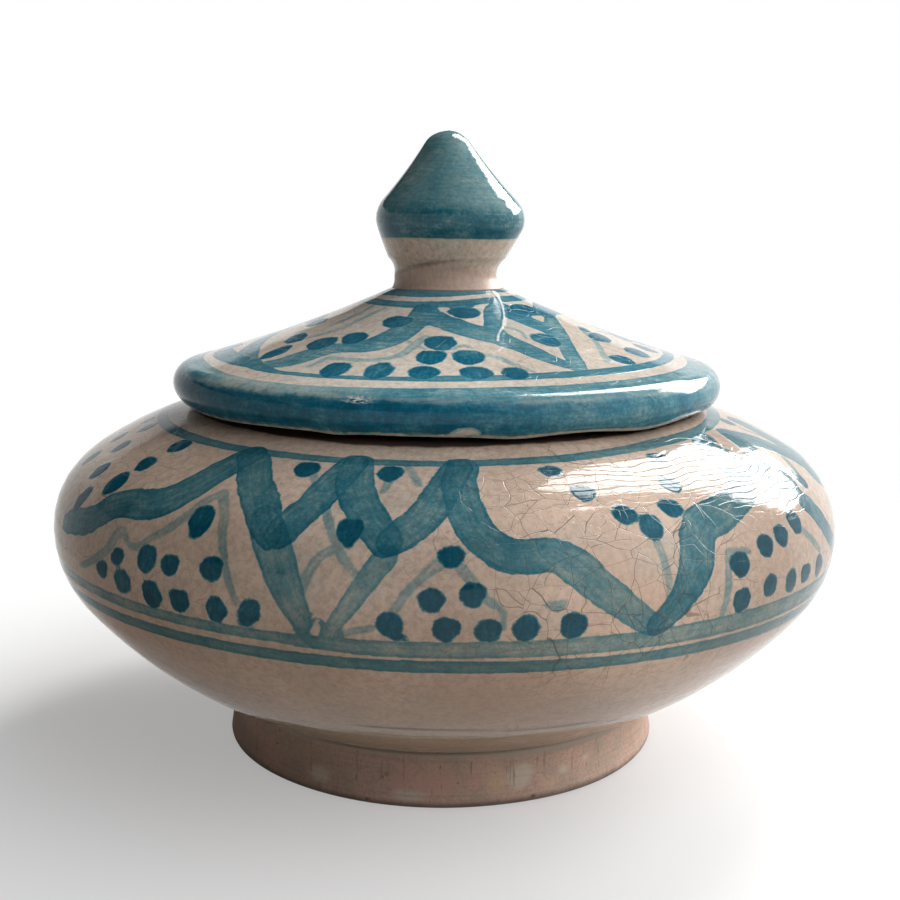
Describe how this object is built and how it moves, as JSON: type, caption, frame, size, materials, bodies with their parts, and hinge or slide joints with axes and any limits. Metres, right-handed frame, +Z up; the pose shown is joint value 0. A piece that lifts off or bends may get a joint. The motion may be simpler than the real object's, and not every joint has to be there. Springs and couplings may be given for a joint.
{
  "type": "lidded jar",
  "caption": "Squat glazed pottery jar on a turned foot ring, with a lift-off conical lid, a locating flange and a pointed bulb knob, brush-painted in blue-green bands, zigzags and dots.",
  "frame": {"origin": "centre of the foot ring's base, on the surface that the jar stands on", "axes": "+Z up along the axis of the jar, which every piece is turned on; +X to the right and -Y towards the viewer as pictured"},
  "size_m": [0.18, 0.18, 0.141],
  "materials": {
    "bowl_glaze": "glossy crackled glaze over a pinkish body, with blue-green brush painting",
    "foot_clay": "bare fired clay, matt, with turning marks",
    "lid_glaze": "glossy crackled glaze, with a blue-green rim and brush painting",
    "flange_glaze": "thin glaze over bare clay",
    "knob_glaze": "glossy dark blue-green above, cream glaze and bare clay at the neck"
  },
  "bodies": {
    "jar": {"bowl": "bowl_glaze", "foot_ring": "foot_clay"},
    "cover": {"lid": "lid_glaze", "lid_flange": "flange_glaze", "knob": "knob_glaze"}
  },
  "joints": [
    {"name": "lid_lift", "type": "slide", "parent": "jar", "child": "cover", "axis": [0, 0, 1], "range_m": [0, 0.06]}
  ]
}
